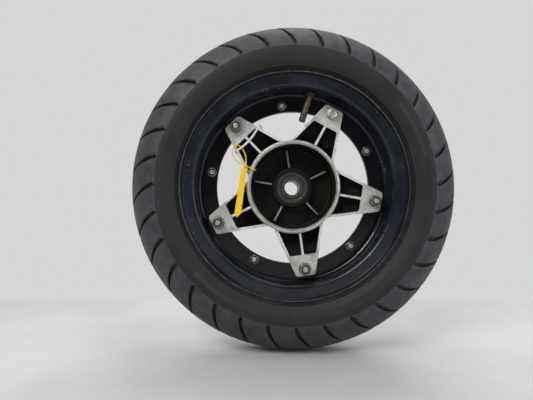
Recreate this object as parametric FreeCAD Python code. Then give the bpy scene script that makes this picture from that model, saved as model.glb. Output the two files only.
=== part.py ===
"""Scooter wheel: tubed tyre on a bolted split rim, five-arm cast hub with a brake drum, two ball bearings.

Frame: millimetres, origin at the wheel's centre, +Y along the axle, +Z up. The open brake drum faces -Y.
Angles are measured about the axle, from +X towards +Z. Each node is written to parts/NODE.step.
"""

import FreeCAD
import Part
import math
import os

from FreeCAD import Vector

# ---- driving dimensions ----
ARMS = 5
ARM_START = -10.1  # angle of the first hub arm
STEP = 360.0 / ARMS
ARM_ANGLES = [ARM_START + STEP * k for k in range(ARMS)]
BETWEEN_ANGLES = [a + STEP / 2 for a in ARM_ANGLES]
SWAPPED_ARM = 1  # this arm is held by a bolt put in from the drum side
TIED_ARM = 2  # this arm carries the cable tie and the label

TYRE_R = 209.5
TREAD_ARC_R = 52.5  # radius of the rounded tread section
SHOULDER = 76.0  # the tread ends this many degrees from the crown
TREAD_RUBBER = 8.0
GROOVES_A_SIDE = 32
GROOVE_W = 3.4
GROOVE_DEPTH = 4.5
GROOVE_LEAN = 32.0  # degrees off the tread's section
GROOVE_ENDS = (14.0, 72.0)  # degrees from the crown
GROOVE_PIVOT = 40.0  # the groove leans about this point of the tread
SIDEWALL = [(162.0, -50.6), (154.0, -47.8), (148.0, -43.4), (144.9, -38.2)]  # (r, y), shoulder to bead
INSIDE_WALL = [(136.0, -24.0), (144.0, -30.5), (151.0, -39.0), (159.0, -43.4)]  # (r, y), bead to shoulder
INSIDE_SHOULDER = 70.0  # the inside of the tread ends this many degrees from the crown
BEAD_W = 9.0
BEAD_HEEL = 2.0
TUBE_WALL = 2.2
TUBE_GAP = 0.4

BEAD_SEAT_R = 126.6  # 10 inch rim
FLANGE_Y = 31.75  # 2.50 inch between the flanges
FLANGE_R = 139.5
LIP_R, LIP_Y = 142.5, 38.0
SHEET = 2.5  # pressed steel of the rim halves
DISC_HOLE_R = 100.0
BOLT_CIRCLE_R = 107.7
HOLE_GAP = 0.3

DRUM_R = 55.0
LINER_R = 57.3  # outside of the iron liner
DRUM_OUTER_R = 59.8
DRUM_FACE_Y = -14.5
LINER_END_Y = 8.0
FLOOR_Y = 21.5  # inner face of the drum's floor
FLOOR_BACK_Y = 26.5
FLOOR_RIB_Y = 14.5
FLOOR_RIB_W = 2.4
STEP_RING_R = 31.2
BOSS_R = 26.7
REAR_BOSS_ROOT_R, REAR_BOSS_R = 36.0, 29.5

ARM_FACE_Y = -11.0
ARM_END_R = 116.3
ARM_HALF_END = 12.4
ARM_FLARE = 0.298  # growth of the half width per millimetre towards the hub
ARM_RAIL = 3.2
ARM_RIB = 3.0
POCKET_END_R = 89.4
PAD_START_R = 95.5
ARM_ROOT_R = 58.6
ARM_START_R = 44.0  # the flanks are drawn from here, inside the drum wall they run into
ARM_ROOT_Y = 13.0
ARM_WEB = 3.2  # thickness left behind the pockets
MARK_PLACE = (71.4, 52.0)  # cast post in one arm's pocket: radius on the wheel, angle
MARK_R, MARK_HOLE_R, MARK_Y = 4.6, 2.4, 1.0

BORE_R = 10.0
BEARING_R = 21.0
BEARING_W = 12.0
BALLS = 9
BALL_R = 3.15
PITCH_R = 15.5
GROOVE_R = 3.25
INNER_SHOULDER_R = 13.5
OUTER_SHOULDER_R = 18.2
FRONT_BEARING_Y = 16.0  # bearing centres
REAR_BEARING_Y = 40.0
BOSS_FACE_Y = 8.5
HUB_END_Y = 48.5
SHIELD_T = 1.0
SHIELD_GAP = 0.09
SHIELD_BEAD_R = 17.2
SOCKET_R = 3.25  # a ball stands clear in its cage socket
CAGE_T = 1.6
CAGE_HALF_W = 4.1

M8_R, M8_FLATS, M8_HEAD, M8_NUT = 4.0, 13.0, 5.3, 6.5
M7_R, M7_FLATS, M7_HEAD, M7_NUT = 3.5, 11.0, 4.8, 5.5
HEX_FACE_SHARE = 0.96  # the flat end of a hex against its width across flats
WASHER_R, WASHER_T = 7.8, 1.4
BOLT_PROUD = 1.6

VALVE_ANGLE = 79.4
VALVE_BASE_R = 124.1
VALVE_Y = -15.6
VALVE_LEAN = 7.2  # the stem leans this much off the radius
VALVE_STEM_R = 3.9
VALVE_THREAD_R = 3.3
VALVE_SHOULDER = 27.6  # along the stem from the rim
VALVE_TIP = 37.2
CAP_END = 40.1
CAP_R = 4.3
CAP_GAP = 0.08
VALVE_BORE_R = 1.75
NECK = 7.8  # length of the narrow bore the pin slides in
PIN_R = 1.2
PIN_GAP = 0.06
PIN_COLLAR_R = 1.6
LOCKNUT_FLATS, LOCKNUT_T = 11.0, 3.6
LOCKNUT_COLLAR_R = 6.6
COLLAR_START, LOCKNUT_SEAT = 1.15, 1.9  # along the stem from the rim

TIE_R = 83.6  # where the cable tie goes round its arm
TIE_W, TIE_T = 3.0, 1.2
TIE_HEAD, TIE_HEAD_START = (5.0, 3.6, 6.0), 4.0
LABEL_T = 1.2
LABEL_Y = -16.6
STRAP_R = 0.95
LABEL_OUTLINE = [(-67.2, 24.5), (-58.2, 29.5), (-57.0, 27.5), (-66.6, -33.0), (-72.8, -40.5), (-76.0, -36.0)]
STRAP_PATH = [
    (-61.2, -16.6, 27.0), (-61.6, -14.0, 37.0), (-62.6, -11.4, 42.0), (-64.6, -9.4, 46.6),
    (-68.0, -9.2, 51.2), (-70.6, -11.4, 53.3), (-73.8, -13.6, 53.5), (-77.4, -15.2, 50.4),
    (-78.9, -16.2, 44.4), (-76.4, -17.3, 37.0), (-70.2, -18.2, 30.4), (-62.4, -18.7, 26.4),
    (-55.5, -18.5, 23.4), (-48.2, -17.6, 20.4)]

FAR = 60.0  # well past both sides of the hub
ORIGIN = Vector(0, 0, 0)
AXLE = Vector(0, 1, 0)
BEARINGS = {"front": FRONT_BEARING_Y, "rear": REAR_BEARING_Y}


# ---- shape helpers ----
def turned(shape, angle):
    """A copy of shape turned about the axle, from +X towards +Z."""
    copy = shape.copy()
    copy.rotate(ORIGIN, AXLE, -angle)
    return copy


def around(shape, angles):
    return [turned(shape, a) for a in angles]


def at_bolt_circle(shape, angles):
    moved = shape.copy()
    moved.translate(Vector(BOLT_CIRCLE_R, 0, 0))
    return around(moved, angles)


def fused(shapes):
    return shapes[0].fuse(shapes[1:]).removeSplitter()


def rounded_wire(points, radii=None):
    """A closed wire of straight runs, with an arc of the given radius at each corner that has one."""
    points = [Vector(*p) for p in points]
    radii = radii or {}
    ends = []
    for i, p in enumerate(points):
        radius = radii.get(i, 0)
        to_last = (points[i - 1] - p).normalize()
        to_next = (points[(i + 1) % len(points)] - p).normalize()
        if not radius:
            ends.append((p, None, p))
            continue
        half = to_last.getAngle(to_next) / 2
        centre = p + (to_last + to_next).normalize() * (radius / math.sin(half))
        middle = centre + (p - centre).normalize() * radius
        reach = radius / math.tan(half)
        ends.append((p + to_last * reach, middle, p + to_next * reach))
    edges = []
    for i, (start, middle, end) in enumerate(ends):
        following = ends[(i + 1) % len(ends)][0]
        if middle is not None:
            edges.append(Part.Arc(start, middle, end).toShape())
        if end.distanceToPoint(following) > 1e-6:
            edges.append(Part.LineSegment(end, following).toShape())
    return Part.Wire(edges)


def section(points, radii=None):
    """A closed face in the r-y plane, from (r, y) points."""
    return Part.Face(rounded_wire([(r, y, 0) for r, y in points], radii))


def spun(face):
    return face.revolve(ORIGIN, AXLE, 360)


def ring(inner_r, outer_r, y0, y1, edge=0.0):
    """A turned ring between two radii and two places on the axle, with its edges eased."""
    points = [(inner_r, y0), (outer_r, y0), (outer_r, y1), (inner_r, y1)]
    return spun(section(points, {i: edge for i in range(4)} if edge else None))


def rod(radius, y0, y1, at=(0, 0)):
    return Part.makeCylinder(radius, y1 - y0, Vector(at[0], y0, at[1]), AXLE)


def plate(points, y0, y1, radii=None):
    """Points are (x, z), extruded along the axle."""
    face = Part.Face(rounded_wire([(x, y0, z) for x, z in points], radii))
    return face.extrude(Vector(0, y1 - y0, 0))


def side_plate(points, half):
    """Points are (r, y), extruded both ways across an arm."""
    face = Part.Face(rounded_wire([(r, y, -half) for r, y in points]))
    return face.extrude(Vector(0, 0, 2 * half))


def hexagon(flats, height):
    """A hex from y = 0 to y = -height, with bevelled corners at the far end."""
    corner = flats / 2 / math.cos(math.radians(30))
    turns = [math.radians(60 * k) for k in range(6)]
    corners = [(corner * math.cos(turn), corner * math.sin(turn)) for turn in turns]
    face_r = flats / 2 * HEX_FACE_SHARE
    wide = corner + 1.0
    drop = (wide - face_r) * math.tan(math.radians(30))
    bevel = section([(0, 0), (wide, 0), (wide, -height + drop), (face_r, -height), (0, -height)])
    return plate(corners, -height, 0).common(spun(bevel))


def write(node, *shapes):
    """Writes one node as STEP and prints its volume and whether each solid is sound."""
    solids = [s for shape in shapes for s in shape.Solids]
    bad = [s for s in solids if not s.isValid() or s.Volume <= 0]
    whole = solids[0] if len(solids) == 1 else Part.makeCompound(solids)
    whole.exportStep(f"parts/{node}.step")
    volume = sum(s.Volume for s in solids) / 1000
    print(f"{node:24s} {len(solids):3d} solids {volume:9.2f} cm3 {'BAD' if bad else ''}")


# ---- tyre and tube ----
def tread_point(angle, offset=0.0):
    """A point of the rounded tread's section, angle degrees from the crown, offset towards its centre."""
    reach = TREAD_ARC_R - offset
    a = math.radians(angle)
    return Vector(TYRE_R - TREAD_ARC_R + reach * math.cos(a), reach * math.sin(a), 0)


def tread_arc(end_angle, offset=0.0):
    return Part.Arc(*[tread_point(a, offset) for a in (-end_angle, 0, end_angle)]).toShape()


def smooth(points):
    curve = Part.BSplineCurve()
    curve.interpolate([Vector(*p) for p in points])
    return curve.toShape()


def mirrored(points):
    return [(r, -y, 0) for r, y, _ in reversed(points)]


def tyre_section():
    shoulder = tread_point(-SHOULDER)
    wall = [(shoulder.x, shoulder.y, 0)] + [(r, y, 0) for r, y in SIDEWALL]
    bead = [wall[-1], (140.9, -31.5, 0), (137.0, -FLANGE_Y, 0), (BEAD_SEAT_R + BEAD_HEEL, -FLANGE_Y, 0),
            (BEAD_SEAT_R, -FLANGE_Y + BEAD_HEEL, 0), (BEAD_SEAT_R, -FLANGE_Y + BEAD_W, 0)]
    inner_end = tread_point(-INSIDE_SHOULDER, TREAD_RUBBER)
    inside = [bead[-1]] + [(r, y, 0) for r, y in INSIDE_WALL] + [(inner_end.x, inner_end.y, 0)]
    edges = [tread_arc(SHOULDER), tread_arc(INSIDE_SHOULDER, TREAD_RUBBER)]
    for flip in (False, True):
        outer = mirrored(wall) if flip else wall
        inner = mirrored(inside) if flip else inside
        steps = mirrored(bead) if flip else bead
        edges += [smooth(outer), smooth(inner)]
        edges += [Part.LineSegment(Vector(*a), Vector(*b)).toShape() for a, b in zip(steps, steps[1:])]
    return Part.Face(Part.Wire(Part.__sortEdges__(edges)))


def groove_cutter():
    """One slanted tread groove on the -Y side, of even depth along the tread's curve."""
    clear = -8.0
    points = [tread_point(-a, GROOVE_DEPTH) for a in GROOVE_ENDS]
    middle = tread_point(-sum(GROOVE_ENDS) / 2, GROOVE_DEPTH)
    outside = [tread_point(-a, clear) for a in GROOVE_ENDS]
    beyond = tread_point(-sum(GROOVE_ENDS) / 2, clear)
    edges = [
        Part.Arc(points[0], middle, points[1]).toShape(),
        Part.LineSegment(points[1], outside[1]).toShape(),
        Part.Arc(outside[1], beyond, outside[0]).toShape(),
        Part.LineSegment(outside[0], points[0]).toShape()]
    swing = 16.0
    band = turned(Part.Face(Part.Wire(edges)).revolve(ORIGIN, AXLE, swing), swing / 2)
    slot = Part.makeBox(80, 100, GROOVE_W, Vector(150, -50, -GROOVE_W / 2))
    slot.rotate(Vector(0, tread_point(-GROOVE_PIVOT).y, 0), Vector(1, 0, 0), GROOVE_LEAN)
    return band.common(slot)


def make_tyre():
    body = spun(tyre_section())
    pitch = 360.0 / GROOVES_A_SIDE
    near = groove_cutter()
    far = near.mirror(ORIGIN, AXLE)
    cutters = around(near, [pitch * k for k in range(GROOVES_A_SIDE)])
    cutters += around(far, [pitch * (k + 0.5) for k in range(GROOVES_A_SIDE)])
    write("tyre", body.cut(Part.makeCompound(cutters)))


def tube_face(offset):
    """The inner tube's section, offset inwards from the space between the tyre and the rim."""
    floor = BEAD_SEAT_R + offset
    side = [(floor, -22.3 + offset, 0), (136.0, -23.2 + offset, 0), (144.0, -29.2 + offset, 0),
            (151.0 + offset / 2, -37.4 + offset, 0), (159.0, -42.4 + offset, 0)]
    end = tread_point(-INSIDE_SHOULDER, TREAD_RUBBER + offset)
    side.append((end.x, end.y, 0))
    base = Part.LineSegment(Vector(*side[0]), Vector(floor, -side[0][1], 0)).toShape()
    tread = tread_arc(INSIDE_SHOULDER, TREAD_RUBBER + offset)
    edges = [tread, smooth(side), smooth(mirrored(side)), base]
    return Part.Face(Part.Wire(Part.__sortEdges__(edges)))


def make_tube():
    outer = spun(tube_face(TUBE_GAP))
    inner = spun(tube_face(TUBE_GAP + TUBE_WALL))
    write("inner_tube", outer.cut(inner).cut(along_valve(rod(VALVE_STEM_R + 0.05, -20, 0))))


# ---- rim ----
def strip(points, thickness, radii):
    """A bent sheet's section: (r, y) points of its middle line, its thickness and its bend radii."""
    half = thickness / 2
    path = [Vector(r, y, 0) for r, y in points]
    runs = [(b - a).normalize() for a, b in zip(path, path[1:])]
    outline, bends = [], {}
    for side in (1, -1):
        for i in (range(len(path)) if side == 1 else reversed(range(len(path)))):
            before, after = runs[max(i - 1, 0)], runs[min(i, len(runs) - 1)]
            normals = [Vector(-run.y, run.x, 0) for run in (before, after)]
            reach = half * side / (1 + normals[0].dot(normals[1]))
            turn = before.x * after.y - before.y * after.x
            if i in radii:
                bends[len(outline)] = radii[i] - half if turn * side > 0 else radii[i] + half
            moved = path[i] + (normals[0] + normals[1]) * reach
            outline.append((moved.x, moved.y))
    return section(outline, bends)


def make_rim_halves():
    middle = SHEET / 2
    path = [(DISC_HOLE_R, -middle), (BEAD_SEAT_R - middle, -middle),
            (BEAD_SEAT_R - middle, -FLANGE_Y - middle), (FLANGE_R, -FLANGE_Y - middle), (LIP_R, -LIP_Y)]
    half = spun(strip(path, SHEET, {1: 5.0, 2: 3.0, 3: 2.2}))
    holes = at_bolt_circle(rod(M8_R + HOLE_GAP, -5, 5), ARM_ANGLES)
    holes += at_bolt_circle(rod(M7_R + HOLE_GAP, -5, 5), BETWEEN_ANGLES)
    half = half.cut(Part.makeCompound(holes))
    write("rim_front_half", half.cut(along_valve(rod(VALVE_STEM_R + HOLE_GAP, -12, 3))))
    write("rim_rear_half", half.mirror(ORIGIN, AXLE))


# ---- hub ----
def arm_half_width(radius, inset=0.0):
    return ARM_HALF_END + (ARM_END_R - radius) * ARM_FLARE - inset * math.sqrt(1 + ARM_FLARE ** 2)


def arm_back_y(radius):
    """Where the back of the arm is, between its root and its pad."""
    share = (radius - ARM_ROOT_R) / (PAD_START_R - ARM_ROOT_R)
    return ARM_ROOT_Y + (2.0 - ARM_ROOT_Y) * share


def arm_blank():
    """One arm along +X: a flared block, thin over the rim and deep towards the drum."""
    profile = [(ARM_START_R, ARM_FACE_Y), (ARM_END_R, ARM_FACE_Y), (ARM_END_R, -SHEET),
               (PAD_START_R + 1.5, -SHEET), (PAD_START_R, arm_back_y(PAD_START_R)),
               (ARM_ROOT_R, ARM_ROOT_Y), (ARM_START_R, ARM_ROOT_Y)]
    root, end = arm_half_width(ARM_START_R), arm_half_width(ARM_END_R)
    outline = [(ARM_START_R, -root), (ARM_END_R, -end), (ARM_END_R, end), (ARM_START_R, root)]
    blank = side_plate(profile, root).common(plate(outline, -FAR, FAR, {1: 4.5, 2: 4.5}))
    return blank.cut(rod(ARM_ROOT_R, -FAR, FAR))


def arm_pockets():
    """The two pockets of one arm, split by its middle rib."""
    depth = [(ARM_START_R, ARM_FACE_Y - 1), (POCKET_END_R, ARM_FACE_Y - 1),
             (POCKET_END_R, arm_back_y(POCKET_END_R) - ARM_WEB), (ARM_ROOT_R, ARM_ROOT_Y - ARM_WEB),
             (ARM_START_R, ARM_ROOT_Y - ARM_WEB)]
    start = ARM_START_R
    low = ARM_RIB / 2
    outline = [(start, low), (POCKET_END_R, low), (POCKET_END_R, arm_half_width(POCKET_END_R, ARM_RAIL)),
               (start, arm_half_width(start, ARM_RAIL))]
    upper = plate(outline, -FAR, FAR, {1: 2.0, 2: 3.5}).common(side_plate(depth, FAR))
    lower = upper.mirror(ORIGIN, Vector(0, 0, 1))
    keep = rod(DRUM_OUTER_R + 1.2, -FAR, FAR)
    return [upper.cut(keep), lower.cut(keep)]


def drum_section():
    """Half section of the cast drum: side wall, floor, front boss, bearing seats and rear boss."""
    front, rear = [y - BEARING_W / 2 for y in BEARINGS.values()]
    step_y = FLOOR_Y - 2.0
    points = [
        (LINER_R, DRUM_FACE_Y), (DRUM_OUTER_R, DRUM_FACE_Y), (DRUM_OUTER_R + 1.0, ARM_ROOT_Y),
        (DRUM_OUTER_R + 1.0, FLOOR_BACK_Y), (REAR_BOSS_ROOT_R, FLOOR_BACK_Y + 2.0),
        (REAR_BOSS_R, HUB_END_Y), (BEARING_R, HUB_END_Y),
        (BEARING_R, rear), (OUTER_SHOULDER_R, rear), (OUTER_SHOULDER_R, front + BEARING_W),
        (BEARING_R, front + BEARING_W), (BEARING_R, BOSS_FACE_Y), (BOSS_R, BOSS_FACE_Y),
        (BOSS_R + 1.0, step_y), (STEP_RING_R, step_y), (STEP_RING_R, FLOOR_Y), (DRUM_R, FLOOR_Y),
        (DRUM_R, LINER_END_Y), (LINER_R, LINER_END_Y)]
    return section(points, {1: 0.6, 3: 5.0, 4: 6.0, 5: 1.0, 12: 1.2, 16: 3.5})


def floor_rib():
    width = FLOOR_RIB_W / 2
    outline = [(BOSS_R - 2, -width), (DRUM_R + 1, -width), (DRUM_R + 1, width), (BOSS_R - 2, width)]
    slope = [(BOSS_R - 2, FLOOR_RIB_Y - 2.0), (DRUM_R - 4, FLOOR_RIB_Y), (DRUM_R + 1, FLOOR_Y - 1.0),
             (DRUM_R + 1, FLOOR_Y + 1), (BOSS_R - 2, FLOOR_Y + 1)]
    return plate(outline, 0, 40).common(side_plate(slope, 5))


def make_hub():
    pieces = [spun(drum_section())] + around(arm_blank(), ARM_ANGLES) + around(floor_rib(), BETWEEN_ANGLES)
    mark_r, mark_angle = MARK_PLACE
    post = turned(rod(MARK_R, MARK_Y, arm_back_y(mark_r) - 1.0, (mark_r, 0)), mark_angle)
    cuts = at_bolt_circle(rod(M8_R + HOLE_GAP, -FAR, FAR), ARM_ANGLES)
    for pocket in arm_pockets():
        cuts += around(pocket, ARM_ANGLES)
    cuts.append(rod(LINER_R, DRUM_FACE_Y - 1, LINER_END_Y))
    hub = fused([fused(pieces).cut(Part.makeCompound(cuts)), post])
    hole = turned(rod(MARK_HOLE_R, MARK_Y - 1, MARK_Y + 4, (mark_r, 0)), mark_angle)
    write("hub_casting", hub.cut(hole))
    write("brake_liner", ring(DRUM_R, LINER_R, DRUM_FACE_Y, LINER_END_Y, 0.3))


# ---- bearings ----
def race(inner_r, outer_r, centre_y):
    """A bearing ring with a ball groove turned in it."""
    groove = Part.makeTorus(PITCH_R, GROOVE_R, Vector(0, centre_y, 0), AXLE)
    return ring(inner_r, outer_r, centre_y - BEARING_W / 2, centre_y + BEARING_W / 2).cut(groove)


def shield(centre_y, side):
    """A dished seal pressed in the outer ring, standing clear of the inner one."""
    outer_face = centre_y + side * (BEARING_W / 2 - 0.7)
    inner_face = outer_face - side * SHIELD_T
    points = [(OUTER_SHOULDER_R, inner_face), (OUTER_SHOULDER_R, outer_face - side * 0.2),
              (SHIELD_BEAD_R, outer_face + side * 0.35), (SHIELD_BEAD_R - 0.8, outer_face),
              (INNER_SHOULDER_R + SHIELD_GAP, outer_face - side * 0.1),
              (INNER_SHOULDER_R + SHIELD_GAP, inner_face)]
    return spun(section(points))


def make_bearings():
    for name, centre_y in BEARINGS.items():
        write(f"{name}_inner_race", race(BORE_R, INNER_SHOULDER_R, centre_y))
        write(f"{name}_outer_race", race(OUTER_SHOULDER_R, BEARING_R, centre_y))
        write(f"{name}_seals", shield(centre_y, -1), shield(centre_y, 1))
        ball = Part.makeSphere(BALL_R, Vector(PITCH_R, centre_y, 0))
        places = [360.0 / BALLS * k for k in range(BALLS)]
        socket = Part.makeCylinder(SOCKET_R, 6, Vector(PITCH_R - 3, centre_y, 0), Vector(1, 0, 0))
        band = (PITCH_R - CAGE_T / 2, PITCH_R + CAGE_T / 2)
        cage = ring(*band, centre_y - CAGE_HALF_W, centre_y + CAGE_HALF_W)
        write(f"{name}_cage", cage.cut(Part.makeCompound(around(socket, places))))
        write(f"{name}_balls", *around(ball, places))
    rear_start = REAR_BEARING_Y - BEARING_W / 2
    write("spacer_tube", ring(BORE_R, INNER_SHOULDER_R, FRONT_BEARING_Y + BEARING_W / 2, rear_start))


# ---- fasteners ----
def bolt(radius, flats, head, start_y, end_y, edge=0.6):
    """A hex bolt whose head sits on start_y and whose shank reaches end_y, in either direction."""
    reach = abs(end_y - start_y)
    shank = Part.makeCylinder(radius, reach - edge, ORIGIN, AXLE)
    point = Part.makeCone(radius, radius - edge, edge, Vector(0, reach - edge, 0), AXLE)
    made = fused([hexagon(flats, head), shank, point])
    return placed(made, start_y, end_y > start_y)


def placed(shape, y, forwards):
    """Turns a shape that points along +Y round if needed, and moves it to y."""
    copy = shape.copy()
    if not forwards:
        copy.rotate(ORIGIN, Vector(1, 0, 0), 180)
    copy.translate(Vector(0, y, 0))
    return copy


def nut(radius, flats, height, y, forwards):
    """A hex nut with a countersunk thread, its seat on y; its bevelled end looks away from the bolt head."""
    body = hexagon(flats, height)
    sink = Part.makeCone(radius, radius + 1.0, 1.2, Vector(0, -height + 1.2, 0), Vector(0, -1, 0))
    return placed(body.cut(rod(radius, -height - 1, 1)).cut(sink), y, not forwards)


def make_fasteners():
    studs = [a for i, a in enumerate(ARM_ANGLES) if i != SWAPPED_ARM]
    swapped = [ARM_ANGLES[SWAPPED_ARM]]
    washer_face = ARM_FACE_Y - WASHER_T
    tip = washer_face - M8_NUT - BOLT_PROUD
    write("arm_bolts", *at_bolt_circle(bolt(M8_R, M8_FLATS, M8_HEAD, SHEET, tip), studs))
    washer = ring(M8_R, WASHER_R, washer_face, ARM_FACE_Y)
    write("arm_washers", *at_bolt_circle(washer, studs))
    write("arm_nuts", *at_bolt_circle(nut(M8_R, M8_FLATS, M8_NUT, washer_face, False), studs))
    rear_tip = SHEET + M8_NUT + BOLT_PROUD
    write("arm_hex_bolt", *at_bolt_circle(bolt(M8_R, M8_FLATS, M8_HEAD, ARM_FACE_Y, rear_tip), swapped))
    write("arm_rear_nut", *at_bolt_circle(nut(M8_R, M8_FLATS, M8_NUT, SHEET, True), swapped))
    rim_tip = -SHEET - M7_NUT - BOLT_PROUD
    write("rim_bolts", *at_bolt_circle(bolt(M7_R, M7_FLATS, M7_HEAD, SHEET, rim_tip), BETWEEN_ANGLES))
    write("rim_nuts", *at_bolt_circle(nut(M7_R, M7_FLATS, M7_NUT, -SHEET, False), BETWEEN_ANGLES))


# ---- valve ----
def along_valve(shape):
    """Moves a shape built along +Y from the rim's surface onto the leaning valve."""
    copy = shape.copy()
    copy.rotate(ORIGIN, Vector(0, 0, 1), 90)
    copy.rotate(ORIGIN, AXLE, VALVE_LEAN)
    copy.translate(Vector(VALVE_BASE_R, VALVE_Y, 0))
    return turned(copy, VALVE_ANGLE)


def make_valve():
    seat = -(BEAD_SEAT_R - VALVE_BASE_R) - TUBE_GAP - TUBE_WALL
    neck_end = VALVE_TIP - NECK
    stem = fused([
        rod(VALVE_STEM_R, seat - 1.6, VALVE_SHOULDER),
        rod(VALVE_THREAD_R, VALVE_SHOULDER, VALVE_TIP)])
    stem = stem.cut(rod(VALVE_BORE_R, seat - 2, neck_end))
    stem = stem.cut(rod(PIN_R + PIN_GAP, neck_end - 1, VALVE_TIP + 1))
    write("valve_stem", along_valve(stem))
    lock = placed(hexagon(LOCKNUT_FLATS, LOCKNUT_T), LOCKNUT_SEAT, False)
    collar = ring(VALVE_STEM_R, LOCKNUT_COLLAR_R, COLLAR_START, LOCKNUT_SEAT)
    write("valve_locknut", along_valve(fused([lock.cut(rod(VALVE_STEM_R, -1, 9)), collar])))
    pin = rod(PIN_R, neck_end - 1.0, VALVE_TIP - 0.3)
    pin = fused([pin, rod(PIN_COLLAR_R, neck_end - 2.2, neck_end - 0.1)])
    write("valve_pin", along_valve(pin))
    start = VALVE_SHOULDER + 0.1
    inside_end = VALVE_TIP + 0.8
    cap = ring(VALVE_THREAD_R + CAP_GAP, CAP_R, start, inside_end)
    outline = [(0, inside_end), (CAP_R, inside_end), (CAP_R, CAP_END), (0, CAP_END)]
    top = spun(section(outline, {2: 1.4}))
    write("valve_cap", along_valve(fused([cap, top])))


# ---- cable tie and label ----
def make_tie_and_label():
    start_r = TIE_R - TIE_W / 2
    inner = arm_half_width(start_r) + 0.15
    front, back = ARM_FACE_Y - 0.25, arm_back_y(start_r) + 0.25
    outer_points = [(-inner - TIE_T, front - TIE_T), (inner + TIE_T, front - TIE_T),
                    (inner + TIE_T, back + TIE_T), (-inner - TIE_T, back + TIE_T)]
    inner_points = [(-inner, front), (inner, front), (inner, back), (-inner, back)]
    faces = []
    for points, radius in ((outer_points, 1.7), (inner_points, 0.5)):
        wire = rounded_wire([(start_r, y, z) for z, y in points], {i: radius for i in range(4)})
        faces.append(Part.Face(wire).extrude(Vector(TIE_W, 0, 0)))
    head = Part.makeBox(*TIE_HEAD, Vector(TIE_R - TIE_HEAD[0] / 2, back + 0.2, TIE_HEAD_START))
    band = fused([faces[0], head]).cut(faces[1])
    write("cable_tie", turned(band, ARM_ANGLES[TIED_ARM]))
    label = plate(LABEL_OUTLINE, LABEL_Y, LABEL_Y + LABEL_T, {0: 1.5, 4: 2.0})
    curve = Part.BSplineCurve()
    curve.interpolate([Vector(*p) for p in STRAP_PATH])
    spine = Part.Wire(curve.toShape())
    start = curve.value(curve.FirstParameter)
    ahead = curve.tangent(curve.FirstParameter)[0]
    circle = Part.Wire(Part.makeCircle(STRAP_R, start, ahead))
    strap = spine.makePipeShell([circle], True, False)
    write("label", fused([label, strap]))


os.makedirs("parts", exist_ok=True)
make_tyre()
make_tube()
make_rim_halves()
make_hub()
make_bearings()
make_fasteners()
make_valve()
make_tie_and_label()
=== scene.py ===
# Looks of the scooter wheel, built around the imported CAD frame: +Y along the axle, +Z up.

import math

import bmesh
import bpy
import numpy as np
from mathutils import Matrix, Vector


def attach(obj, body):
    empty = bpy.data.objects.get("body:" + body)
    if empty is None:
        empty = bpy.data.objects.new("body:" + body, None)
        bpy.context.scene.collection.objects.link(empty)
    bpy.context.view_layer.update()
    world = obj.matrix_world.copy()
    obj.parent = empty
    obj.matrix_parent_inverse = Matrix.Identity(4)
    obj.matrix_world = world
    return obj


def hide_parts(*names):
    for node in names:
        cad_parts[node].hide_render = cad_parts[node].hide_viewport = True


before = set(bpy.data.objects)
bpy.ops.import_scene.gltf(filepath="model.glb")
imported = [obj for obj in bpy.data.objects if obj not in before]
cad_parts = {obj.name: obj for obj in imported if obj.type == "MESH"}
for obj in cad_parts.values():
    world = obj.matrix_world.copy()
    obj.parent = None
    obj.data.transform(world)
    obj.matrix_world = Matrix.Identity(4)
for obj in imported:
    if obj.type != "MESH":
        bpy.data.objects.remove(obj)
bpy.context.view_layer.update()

MM = 0.001

# ---- sizes shared with the CAD, in millimetres ----
TYRE_R = 209.5
TREAD_ARC_R, TREAD_THICK = 52.5, 8.0
SHOULDER = 76.0  # the tread ends this many degrees from the crown
GROOVES = 32  # on each side
ARM_START = -10.1
ARM_ANGLES = [ARM_START + 72.0 * k for k in range(5)]
SWAPPED_ARM = 1
TIED_ARM = 2
ARM_FACE_Y = -11.0
SHEET = 2.5
BOLT_CIRCLE_R = 107.7
M8_R, M8_FLATS, M8_HEAD, M8_NUT = 4.0, 13.0, 5.3, 6.5
M7_R, M7_FLATS, M7_HEAD, M7_NUT = 3.5, 11.0, 4.8, 5.5
WASHER_R, WASHER_T = 7.8, 1.4
BOLT_PROUD = 1.6

# ---- sizes of the modelled detail, in millimetres and degrees ----
GROOVE_SPACING_R = 185.0  # radius at which distances across a groove are measured
GROOVE_DEPTH = 4.2
GROOVE_SWEEP, GROOVE_BEND, CROWN_SHIFT = 8.2, 0.8, 24.0  # how the grooves slant and cross over the crown
GROOVE_HALF, GROOVE_WIDENS, GROOVE_WALL = 2.05, 0.45, 0.5
GROOVE_INNER_END, GROOVE_FADE = 12.0, 7.0  # section angles from the crown
GROOVE_OUTER_END, GROOVE_ROUND = 71.6, 2.2

M8_PITCH, M7_PITCH = 1.25, 1.0
STUD_THREAD, SWAPPED_THREAD, RIM_THREAD = 16.0, 12.0, 9.0
THREAD_DEPTH = 0.61  # of the pitch
NEAR_AXIS = 0.05  # a turned piece ends in a tiny flat here, so that no two points meet on the axis
AROUND = 60  # points round a nut, bolt or washer

TIE_R, TIE_BOW_R = 84.6, 82.9  # where the tie lies along its arm: behind it, and at the front's lowest
TIE_BOW_AT, TIE_BOW_RISE = 5.0, 0.0072  # how far off the arm's middle it is lowest, and how it rises
TIE_HIGH, TIE_LOW, TIE_CORNER = 25.4, -22.6, 1.5
TIE_FRONT_Y, TIE_BACK_Y = ARM_FACE_Y - 0.75, 6.6
TIE_HALF_W, TIE_HALF_T, TIE_EASE, TIE_TOOTH = 1.35, 0.55, 0.2, 0.10
TIE_HEAD_AT, TIE_HEAD_LONG, TIE_HEAD_WIDE = 7.0, 2.5, 3.0

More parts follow.
